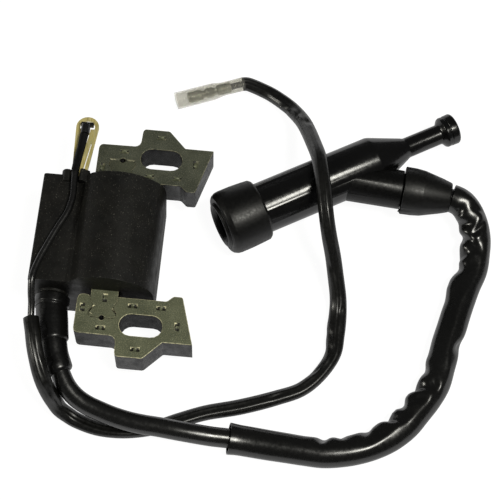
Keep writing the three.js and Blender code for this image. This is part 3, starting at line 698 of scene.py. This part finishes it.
sl_dense = catmull(LEAD_ROUTE, 0.5)
a, b = nearest(sl_dense, -1.05, -60.1, 6.0), nearest(sl_dense, 66.6, 29.95, 11.7)
sl_path = sl_dense[a:b + 1]
INNER = 160
HT_FOLDS = [
    (30.5, 150, 1.10, 1.6, 34, 1.2, 0.25), (37.0, 165, 0.55, 1.5, 30, -1.5, 0.22), (46.5, 152, 1.00, 1.7, 38, 2.0, 0.35),
    (56.5, 158, 1.30, 1.6, 44, -2.0, 0.55), (60.8, 118, 0.40, 1.6, 24, 1.5, 0.20),
    (64.0, 160, 1.20, 1.5, 42, 1.6, 0.50), (68.4, 112, 0.45, 1.4, 26, -2.0, 0.25), (72.0, 152, 1.30, 1.5, 42, -1.8, 0.45),
    (75.5, 88, 0.60, 1.6, 26, 3.4, 0.30), (80.5, 165, 0.70, 1.7, 32, 1.2, 0.45),
    (91.8, 22, 1.00, 2.3, 26, -3.0, 0.30), (106.5, 160, 0.30, 2.6, 34, 1.0, 0.10),
    (118.8, 165, 1.00, 2.4, 40, 1.0, 0.30), (124.6, 152, 0.90, 1.5, 36, -1.5, 0.45), (128.4, 105, 0.55, 1.5, 30, 3.0, 0.30),
    (131.6, 165, 1.15, 1.5, 42, 1.5, 0.50), (134.6, 85, 0.60, 1.3, 30, -3.2, 0.35), (138.0, 152, 0.75, 1.5, 38, 1.5, 0.35),
    (141.0, 66, 0.55, 1.3, 26, 2.6, 0.35), (143.6, 150, 0.55, 1.3, 34, -1.0, 0.30),
]


def ht_radius(s, th, u):
    v = Vector((s * 0.05, math.cos(th) * 0.9, math.sin(th) * 0.9))
    flat = 0.20 * math.cos(2 * (th - 0.35 * math.sin(s * 0.06))) * (0.6 + 0.4 * math.sin(s * 0.11 + 1))
    r = 4.78 + 0.14 * noise.noise(v) + flat
    # ridge between the smooth outer half and the puckered inner half of the bend
    if 36 < s < 132:
        edge = 74 + 14 * math.sin(s * 0.14) + 5 * math.sin(s * 0.37)
        k = min(1.0, (s - 36) / 14) * min(1.0, (132 - s) / 10)
        r += 0.16 * k * gauss(wrap(th - math.radians(edge)), 0.26) - 0.24 * k * gauss(wrap(th - math.radians(edge + 36)), 0.36)
    r += 0.85 * fold(s, th, HT_FOLDS)
    # fuller pillow where the bore stands away from the lead
    r += 0.55 * gauss(s - 111.8, 3.6) * gauss(wrap(th - math.radians(165)), 0.8)
    r += 0.25 * gauss(s - 0.0, 2.0) * (0.4 + 0.6 * abs(math.cos(th)))
    return max(3.62, min(5.6, r))


me = sweep("ht_sleeve_skin", sl_path, ht_radius, 72, bore=0.4, angle=60)
sleeve = new_obj("ht_sleeve_skin", me, COIL, MATS["vinyl"], ["ht_sleeve"])

me = sweep("stop_wire_jacket", stop_path, lambda s, th, u: 1.10 + 0.24 * max(0.0, min(1.0, (16.5 - s) / 1.2)) + 0.10 * gauss(s, 2.5) + (0.05 * noise.noise(Vector((s * 0.6, math.cos(th), math.sin(th)))) if s < 16 else 0.0), 28)
wire = new_obj("stop_wire_jacket", me, COIL, MATS["wire"], ["stop_wire"])
me.materials.append(MATS["shrink"])
for f in me.polygons:
    if f.center.x < -0.01 and f.center.y > 0.0215:
        f.material_index = 1

ss_dense = catmull(STOP_ROUTE, 0.6)
a, b = nearest(ss_dense, -67.73, -30.55, 20.9), nearest(ss_dense, -8.6, 72.1, 3.05)
ss_path = ss_dense[a:b + 1]
STOP_FOLDS = [
    (3.0, 70, 0.25, 2.0, 26, 2.0, 0.05), (12.0, 120, 0.30, 2.6, 26, 2.5, 0.10), (24.0, 80, 0.30, 1.8, 30, -2.0, 0.12),
    (33.0, 130, 0.35, 1.6, 32, 1.6, 0.15), (108.0, 90, 0.25, 2.4, 26, 3.0, 0.08), (124.0, 140, 0.45, 2.0, 34, -2.0, 0.15),
    (133.0, 110, 0.50, 1.6, 34, 2.0, 0.20), (139.0, 150, 0.55, 1.4, 36, 1.0, 0.22), (147.5, 60, 0.40, 1.8, 30, -2.4, 0.15),
    (163.0, 120, 0.30, 2.0, 30, 2.0, 0.10), (224.0, 70, 0.35, 1.4, 30, 1.6, 0.15), (231.0, 110, 0.40, 1.2, 32, -1.6, 0.18),
    (238.0, 150, 0.40, 1.3, 34, 1.4, 0.18), (246.0, 80, 0.30, 1.4, 28, 1.0, 0.12),
]


def stop_radius(s, th, u):
    n1 = noise.noise(Vector((s * 0.035, 3.1, 0.7)))
    n2 = noise.noise(Vector((s * 0.05, 9.4, 2.2)))
    a = 2.62 + 0.30 * n1 + 0.45 * gauss(s - 141.0, 9.0)
    b = 2.08 + 0.18 * n2
    phi = 0.25 + 0.75 * noise.noise(Vector((s * 0.022, 5.5, 8.1)))
    c, q = math.cos(th - phi), math.sin(th - phi)
    r = a * b / math.sqrt((b * c) ** 2 + (a * q) ** 2)
    w1 = math.radians(62 + 34 * noise.noise(Vector((s * 0.03, 1.5, 4.4))))
    w2 = math.radians(118 + 26 * noise.noise(Vector((s * 0.03, 7.5, 1.4))))
    r += 0.17 * gauss(wrap(th - w1), 0.22) + 0.12 * gauss(wrap(th - w2), 0.18) - 0.10 * gauss(wrap(th - (w1 + w2) / 2), 0.25)
    r += 0.8 * fold(s, th, STOP_FOLDS)
    return max(1.62, min(3.3, r))


me = sweep("stop_sleeve_skin", ss_path, stop_radius, 48, bore=0.3, angle=60)
ssleeve = new_obj("stop_sleeve_skin", me, COIL, MATS["vinyl_thin"], ["stop_sleeve"])

# ------------------------------------------------------------------ core
def bump_tool(items, z_top, depth=0.36):
    """Cutter for interlock dimples: a pocket with sloping walls whose floor rises to a domed tongue. items: (x, y, length, width, angle)."""
    verts, faces = [], []
    for (x, y, L, W, ang) in items:
        ca, sa = math.cos(ang), math.sin(ang)
        h = L / 2
        prof = [(-h - 0.1, 0.5), (h + 0.1, 0.5), (h, 0.0), (h * 0.80, -depth), (h * 0.52, -depth * 0.9), (h * 0.30, -0.20), (0, -0.16),
                (-h * 0.30, -0.20), (-h * 0.52, -depth * 0.9), (-h * 0.80, -depth), (-h, 0.0)]
        rows = []
        for w0, slope in ((-W / 2, -0.10), (0.04 * W, 0.0), (W / 2 - 0.10, 0.30)):
            ids = []
            for (u, z) in prof:
                w = w0 + slope * max(0.0, min(1.0, 1.0 + z / depth))
                ids.append(len(verts))
                verts.append(P(x + u * ca - w * sa, y + u * sa + w * ca, z_top + z))
            rows.append(ids)
        m = len(prof)
        faces.append(tuple(rows[0]))
        faces.append(tuple(reversed(rows[-1])))
        for p, q in zip(rows, rows[1:]):
            for k in range(m):
                k2 = (k + 1) % m
                faces.append((p[k], q[k], q[k2], p[k2]))
    return mesh_from("dimples", verts, faces, False)


def groove_tool(lines, z_top):
    """V-shaped grooves. lines: (x0, y0, x1, y1, half width, depth)."""
    verts, faces = [], []
    for (x0, y0, x1, y1, hw, dp) in lines:
        t = Vector((x1 - x0, y1 - y0)).normalized()
        nx, ny = -t.y, t.x
        b = len(verts)
        for (x, y, e) in ((x0, y0, -1), (x1, y1, 1)):
            verts += [P(x + nx * hw, y + ny * hw, z_top + 0.0), P(x - nx * hw, y - ny * hw, z_top + 0.0), P(x - t.x * e * hw, y - t.y * e * hw, z_top - dp),
                      P(x + nx * hw, y + ny * hw, z_top + 0.4), P(x - nx * hw, y - ny * hw, z_top + 0.4)]
        faces += [(b, b + 2, b + 1), (b, b + 1, b + 4, b + 3), (b + 5, b + 6, b + 7), (b + 5, b + 8, b + 9, b + 6),
                  (b, b + 5, b + 7, b + 2), (b + 1, b + 2, b + 7, b + 6), (b, b + 3, b + 8, b + 5), (b + 1, b + 6, b + 9, b + 4), (b + 3, b + 4, b + 9, b + 8)]
    return mesh_from("grooves", verts, faces, False)


Q = math.pi / 2
ZT = 20.7
BX = -45.35


def core_piece(node, marks, base, edge, kind, grooves=()):
    """Welded copy of a core node with interlock dimples, bevelled edges in a lighter edge material (wear plus painted
    highlight) and its own slots. kind gives the material slot of a dimple face.
    """
    o = temp(node_copy(node + "_plates", node))
    me = o.data
    att = me.attributes.new("bevel_weight_edge", "FLOAT", "EDGE")
    sharp = {}
    for f in me.polygons:
        for k in f.edge_keys:
            sharp.setdefault(k, []).append(f.normal.copy())
    for e in me.edges:
        ns = sharp.get(e.key, [])
        if len(ns) == 2 and ns[0].angle(ns[1]) > math.radians(40):
            c = (me.vertices[e.vertices[0]].co + me.vertices[e.vertices[1]].co) / 2
            x, y = c.x / MM - OFF.x, c.y / MM - OFF.y
            joint = abs(x - BX) < 4.75 and 20.75 < abs(y) < 28.9
            top = abs(c.z / MM - ZT) < 0.05
            att.data[e.index].value = (0.18 if joint else 1.0) if top else 0.55
    m = o.modifiers.new("bev", "BEVEL")
    m.width = 0.19 * MM
    m.segments = 2
    m.limit_method = "WEIGHT"
    m.use_clamp_overlap = True
    apply_mods(o)
    edge_z = ZT - 0.4
    boolean(o, temp(bump_tool(marks, ZT)))
    size = lambda m: [max(v.co[i] for v in m.vertices) - min(v.co[i] for v in m.vertices) for i in range(3)]
    for gr in grooves:
        old, whole = o.data.copy(), size(o.data)
        gm = groove_tool([gr], ZT)
        bm = bmesh.new()
        bm.from_mesh(gm)
        bmesh.ops.recalc_face_normals(bm, faces=bm.faces)
        bm.to_mesh(gm)
        bm.free()
        boolean(o, temp(gm))
        if not o.data.vertices or max(abs(p - q) for p, q in zip(size(o.data), whole)) > 1e-5:
            o.data = old                          # keep the plain joint line
    o.data.materials.clear()
    for k in (base, edge, "steel_recess_shade", "steel"):
        o.data.materials.append(MATS[k])
    even_normals(o, 30)
    for k, f in enumerate(o.data.polygons):
        c = f.center
        x, y, z = c.x / MM - OFF.x, c.y / MM - OFF.y, c.z / MM
        f.material_index = 0
        if z < edge_z:
            continue
        inside = False
        for (mx, my, L, W, ang) in marks:
            u = (x - mx) * math.cos(ang) + (y - my) * math.sin(ang)
            w = -(x - mx) * math.sin(ang) + (y - my) * math.cos(ang)
            if abs(u) < L / 2 + 0.12 and -W / 2 - 0.15 < w < W / 2 + 0.35 and z < ZT - 0.004:
                f.material_index = kind(u / L, w / W, z - ZT)
                inside = True
                break
        # Bevels facing up take the edge material, wear plus painted highlight; groove walls take the recess material,
        # painted shade.
        if not inside and z < ZT - 0.004 and f.normal.z < 0.97:
            f.material_index = 1 if f.normal.z > 0.12 else 0
            for (x0, y0, x1, y1, hw, dp) in grooves:
                if min(x0, x1) - hw * 2 < x < max(x0, x1) + hw * 2 and min(y0, y1) - hw * 2 < y < max(y0, y1) + hw * 2 and f.normal.y > -0.2:
                    f.material_index = 2
    o.name = node + "_plates"
    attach(o, COIL)
    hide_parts(node)
    return o


# Dimple face slots: 1 the edge material, a painted highlight on the far rim; 2 the recess material, painted shade; 3
# the lighter plain steel, a painted highlight on the tongue; 0 the base.
def low_kind(u, w, z):
    if w > 0.40:
        return 1
    if abs(u) > 0.42:
        return 1 if w > 0 else 2
    if abs(u) > 0.15:
        return 2 if w < 0.3 else 1
    return 0


def up_kind(u, w, z):
    if abs(u) > 0.24 and w > 0.0:
        return 2
    if u > 0.26 and w <= 0:
        return 1
    return 3


def end_kind(u, w, z):
    if u > 0.24:
        return 1
    if abs(w) > 0.4:
        return 1 if w < 0 else 2
    return 2 if u < -0.2 or abs(u) > 0.2 else 0


def bar_kind(u, w, z):
    if w > 0.40 or u < -0.40:
        return 2
    if u > 0.40 or w < -0.40:
        return 1
    return 2 if u < -0.16 else 0


MARKS = lambda s: [(-33.4, s * 38.2, 3.1, 1.35, 0), (-45.3, s * 31.9, 3.1, 1.35, 0), (-35.85, s * 23.45, 3.1, 1.35, 0), (-26.65, s * 23.4, 3.1, 1.35, 0),
                   (-51.9, s * 25.4, 2.9, 1.5, Q), (-20.9, s * 29.3, 2.9, 1.5, Q)]
UPG = [(-49.9, 28.62, -46.3, 28.72, 0.34, 0.6), (-44.4, 28.70, -41.2, 28.60, 0.34, 0.6)]
LOG = [(-42.35, -25.05, -40.95, -26.6, 0.30, 0.6), (-48.1, -24.3, -49.0, -25.4, 0.26, 0.5), (-49.0, -25.4, -49.7, -26.8, 0.26, 0.5), (-49.7, -26.8, -48.6, -27.6, 0.22, 0.4)]
core_piece("core_leg_upper", MARKS(1), "steel_dark", "steel_dark_worn_highlit", up_kind, UPG)
core_piece("core_leg_lower", MARKS(-1), "steel", "steel_worn_highlit", low_kind, LOG)
core_piece("core_bar", [(-45.0, -21.5, 3.0, 1.4, Q)], "steel_bar", "steel_worn_highlit", bar_kind, UPG + LOG)

# ------------------------------------------------------------------ case
me = node_copy("case_moulding", "coil_case", dissolve=True)
o = temp(me)
o.data.materials.clear()
o.data.materials.append(MATS["case"])
o.data.materials.append(MATS["case_edge"])
for f in o.data.polygons:
    f.material_index = 0
# The bevel faces take the edge material: scuffing plus painted rim highlight.
bevel(o, 0.42, 3, 40, mat=1)
even_normals(o, 50)
o.name = "case_moulding"
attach(o, COIL)
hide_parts("coil_case")

# ------------------------------------------------------------------ stop terminal and crimped hook
me = node_copy("stop_terminal_strip", "stop_terminal")
o = temp(me)
bevel(o, 0.28, 3, 30)
even_normals(o, 50)
o.name = "stop_terminal_strip"
o.data.materials.clear()
o.data.materials.append(MATS["gold"])
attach(o, COIL)
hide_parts("stop_terminal")

me = node_copy("stop_wire_crimp", "stop_wire_hook")
o = temp(me)
bevel(o, 0.3, 3, 30)
smooth_by_angle(o.data, 40)
o.name = "stop_wire_crimp"
o.data.materials.clear()
o.data.materials.append(MATS["wire"])
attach(o, COIL)
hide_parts("stop_wire_hook")

# ------------------------------------------------------------------ tower boot
TX, TZ = -62.8, 14.0
i1, i2, i3, i4 = (nearest(sl_dense, *q) for q in ((-62.75, -22.9, 14.0), (-60.55, -35.9, 13.8), (-60.75, -34.9, 13.8), (-56.9, -45.4, 12.45)))


def boot_radius(s, th, u):
    r = 5.2
    r -= 0.35 * gauss(s - 9.5, 1.5) * gauss(wrap(th - math.radians(58)), 0.32)      # moulded dimple
    r -= 0.16 * gauss(s - 11.2, 0.6) * gauss(wrap(th - math.radians(66)), 0.20)
    if u > 0.93:
        r -= 0.5 * ((u - 0.93) / 0.07) ** 2
    return r


def nose_radius(s, th, u):
    r = 4.45 + 0.05 * math.sin(s * 0.9)
    r -= 0.40 * gauss(s - 7.4, 1.3) * gauss(wrap(th - math.radians(62)), 0.36)
    r += 0.16 * gauss(s - 9.0, 0.5) * gauss(wrap(th - math.radians(62)), 0.40)
    if u > 0.9:
        r -= 0.55 * ((u - 0.9) / 0.1) ** 2
    return r


upper = temp(sweep("u", sl_dense[i1:i2 + 1], boot_radius, 64))
lower = temp(sweep("l", sl_dense[i3:i4 + 1], nose_radius, 64))
collar = temp(lathe("c", round_profile([(0, 20.25), (5.4, 20.25), (5.72, 20.55), (5.72, 23.2), (5.3, 23.75), (5.25, 24.4), (0, 24.4)], {1: 0.3, 2: 0.3, 3: 0.5, 4: 0.3}),
                    P(TX, 0, TZ), (0, -1, 0), 96))
boolean(collar, upper, "UNION")
boolean(collar, lower, "UNION")
bore = temp(sweep("b", sl_dense[nearest(sl_dense, -62.8, -17.5, 14):nearest(sl_dense, -53, -51, 11)], 3.5, 48))
boolean(collar, bore)
tower = temp(lathe("t", [(0, 17.5), (4.5, 17.5), (4.5, 23.55), (0, 23.55)], P(TX, 0, TZ), (0, -1, 0), 64))
boolean(collar, tower)
smooth_by_angle(collar.data, 38)
collar.name = "tower_boot_moulding"
collar.data.materials.clear()
collar.data.materials.append(MATS["boot"])
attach(collar, COIL)
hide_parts("ht_boot")

# ------------------------------------------------------------------ spark-plug cap
CU = Vector((0.86207174, 0.50678626, 0))
C0 = P(-7.97681568, 13.56900924, 11.75)
at = lambda s: C0 + CU * s * MM
B0 = at(38.8)
BU = Vector((0.99705, -0.07672, 0))
main_prof = [(0, 0.9), (8.3, 0.9), (8.6, 1.2), (8.6, 11.7), (8.7, 11.8), (8.7, 54.6), (8.4, 55.6), (4.0, 66.2), (3.5, 67.2), (3.45, 80.0),
             (4.1, 80.6), (5.05, 81.3), (5.3, 81.8), (5.3, 82.6), (5.12, 82.85), (5.12, 83.1), (5.35, 83.35), (5.42, 85.5), (5.1, 86.0), (2.6, 86.4), (0, 86.4)]
cap = temp(lathe("cap", round_profile(main_prof, {1: 0.2, 2: 0.2, 5: 2.4, 6: 2.4, 7: 2.4, 8: 2.2, 9: 1.0, 10: 0.6, 11: 0.6, 12: 0.4, 13: 0.2, 14: 0.15, 15: 0.15, 16: 0.2, 17: 0.5, 18: 0.8, 19: 1.0}, 5),
                 C0, CU, 128))
branch = temp(lathe("br", round_profile([(0, 2), (6.65, 2), (6.65, 23.9), (5.6, 24.05), (5.6, 32.0), (0, 32.0)], {2: 0.25, 3: 0.1}), B0, BU, 112))
boolean(cap, branch, "UNION")
bores = temp(lathe("bo", [(0, 0), (6.2, 0), (6.2, 24.8), (3.4, 25.2), (3.4, 43.5), (0, 43.5)], C0, CU, 72))
boolean(cap, bores)
bores = temp(lathe("bo", [(0, 0), (3.5, 0), (3.5, 33.5), (0, 33.5)], B0, BU, 56))
boolean(cap, bores)
bevel(cap, 0.35, 3, 32)
smooth_by_angle(cap.data, 38)
cap.name = "cap_moulding"
cap.data.materials.clear()
cap.data.materials.append(MATS["cap"])
cap.data.materials.append(MATS["cap_branch"])
for f in cap.data.polygons:
    d = f.center - C0
    s = d.dot(CU)
    f.material_index = 1 if (d - CU * s).length > 8.74 * MM and s > 0.02 else 0
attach(cap, COIL)
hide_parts("cap_body")

pb = [(6.2, -3.2), (6.8, -3.65), (7.4, -3.65), (7.85, -3.3), (8.05, -2.7), (9.7, -2.7), (10.3, -2.2), (10.9, -1.0), (11.05, 0.2), (11.05, 4.5), (10.85, 8.4), (10.65, 10.8), (10.1, 11.5),
      (8.75, 11.5), (8.75, 0.6), (7.4, 0.4), (6.2, 0.2), (5.7, -0.6), (5.7, -2.2)]
me = lathe("plug_boot_rubber", round_profile(pb, {0: 0.5, 1: 0.4, 2: 0.4, 3: 0.4, 4: 0.2, 5: 0.35, 6: 0.6, 7: 0.8, 8: 1.2, 9: 2.0, 10: 1.5, 11: 0.5, 12: 0.4, 13: 0.3, 14: 0.4, 15: 0.4, 16: 0.4, 17: 0.5, 18: 0.5}, 5), C0, CU, 144, 45,
           fn=lambda r, s, t: (r + 0.05 * noise.noise(Vector((math.cos(t) * 1.5, math.sin(t) * 1.5, s * 0.2))), s))
plug_rubber = new_obj("plug_boot_rubber", me, BOOT, MATS["rubber"], ["cap_plug_boot"])

lb = [(5.75, 24.3), (7.95, 24.3), (8.12, 24.5), (8.05, 28.0), (7.75, 31.0), (6.0, 37.4), (5.15, 40.1), (4.9, 40.6), (3.6, 40.6), (3.6, 32.3), (5.75, 32.3)]


def lead_boot_shape(r, s, t):
    k = 0.06 * noise.noise(Vector((math.cos(t) * 2.5, math.sin(t) * 2.5, s * 0.25)))
    if s < 24.9 and r > 7.0:                     # torn moulding flash at one side of the rim
        a = wrap(t - FLASH)
        if abs(a) < 0.30:
            j = noise.noise(Vector((a * 26.0, 4.2, r * 0.8)))
            return r + k + max(0.0, 0.55 * j), s - max(0.0, 1.15 * (0.35 + j)) * (1 - abs(a) / 0.30)
    return r + k, s


FLASH = math.pi * 1.5
me = lathe("lead_boot_rubber", round_profile(lb, {0: 0.2, 1: 0.15, 2: 0.2, 3: 2.0, 4: 2.4, 5: 2.0, 6: 0.8, 7: 0.3, 8: 0.3, 9: 0.2, 10: 0.2}, 5), B0, BU, 240, 45, fn=lead_boot_shape)
lead_rubber = new_obj("lead_boot_rubber", me, COIL, MATS["rubber"], ["cap_lead_boot"])

# ------------------------------------------------------------------ bullet connector
CA = P(-31.34, 62.91, 3.05)
CD = Vector((0.92524, 0.37939, 0))
bt = [(0, 4.2), (1.5, 4.2), (1.95, 4.7), (1.95, 9.4), (1.3, 9.8), (1.3, 10.6), (1.75, 11.2), (1.85, 12.3), (1.6, 13.6),
      (1.2, 14.2), (1.2, 14.8), (1.85, 15.2), (1.85, 19.71), (1.6, 20.06), (0, 20.06)]
me = lathe("bullet_pin", round_profile(bt, {1: 0.3, 2: 0.3, 3: 0.25, 4: 0.2, 5: 0.3, 6: 0.5, 7: 0.7, 8: 0.6, 9: 0.3, 10: 0.3, 11: 0.4, 12: 0.4, 13: 0.3}, 4), CA, CD, 72)
bullet = new_obj("bullet_pin", me, COIL, MATS["tin"], ["bullet_terminal"])
cs = [(2.5, 0), (3.0, 0), (3.0, 13.2), (2.85, 14.6), (2.5, 16.4), (2.4, 18.0), (2.45, 25.0), (2.2, 25.0), (2.1, 18.0), (2.15, 16.2), (2.5, 14.0)]
me = lathe("connector_tube", round_profile(cs, {0: 0.15, 1: 0.15, 2: 1.0, 3: 0.8, 4: 0.6, 5: 0.6, 6: 0.1, 7: 0.1, 8: 0.6, 9: 0.6, 10: 0.6}, 5), CA, CD, 80, 45,
           fn=lambda r, s, t: (r + 0.05 * noise.noise(Vector((math.cos(t) * 1.2, math.sin(t) * 1.2, s * 0.25))), s))
tube = new_obj("connector_tube", me, WSL, MATS["clear"], ["connector_sleeve"])

be = nearest(lead_path, -57.0, -45.3, 12.5)

# ------------------------------------------------------------------ stage
me = bpy.data.meshes.new("floor")
s = 3.0
me.from_pydata([(-s, -s, -0.0003), (s, -s, -0.0003), (s, s, -0.0003), (-s, s, -0.0003)], [], [(0, 1, 2, 3)])
floor = bpy.data.objects.new("floor", me)
coll.objects.link(floor)
fm = bpy.data.materials.new("floor")
fm.use_nodes = True
fb = fm.node_tree.nodes["Principled BSDF"]
fb.inputs["Base Color"].default_value = (0.14, 0.14, 0.14, 1)
fb.inputs["Roughness"].default_value = 0.9
fb.inputs["Specular IOR Level"].default_value = 0.1
fb.inputs["Emission Color"].default_value = (1, 1, 1, 1)
fb.inputs["Emission Strength"].default_value = 0.95
me.materials.append(fm)

world = bpy.data.worlds.new("studio")
scene.world = world
world.use_nodes = True
world.node_tree.nodes["Background"].inputs["Color"].default_value = (1, 1, 1, 1)
world.node_tree.nodes["Background"].inputs["Strength"].default_value = 0.08


def area(name, loc, target, size, energy, size_y=None, color=(1, 1, 1)):
    l = bpy.data.lights.new(name, "AREA")
    l.energy = energy
    l.size = size
    l.color = color
    if size_y:
        l.shape = "RECTANGLE"
        l.size_y = size_y
    o = bpy.data.objects.new(name, l)
    coll.objects.link(o)
    o.location = loc
    o.rotation_euler = (Vector(target) - Vector(loc)).to_track_quat("-Z", "Y").to_euler()
    return o


area("key", (0.38, -0.22, 0.92), (0.05, 0, 0), 0.30, 7.2, 0.2, (1, 0.985, 0.90))
area("left", (-0.85, -0.22, 0.42), (0.0, 0, 0), 0.3, 3.2, 0.14, (1, 0.98, 0.88))
scene.view_settings.view_transform = "Standard"
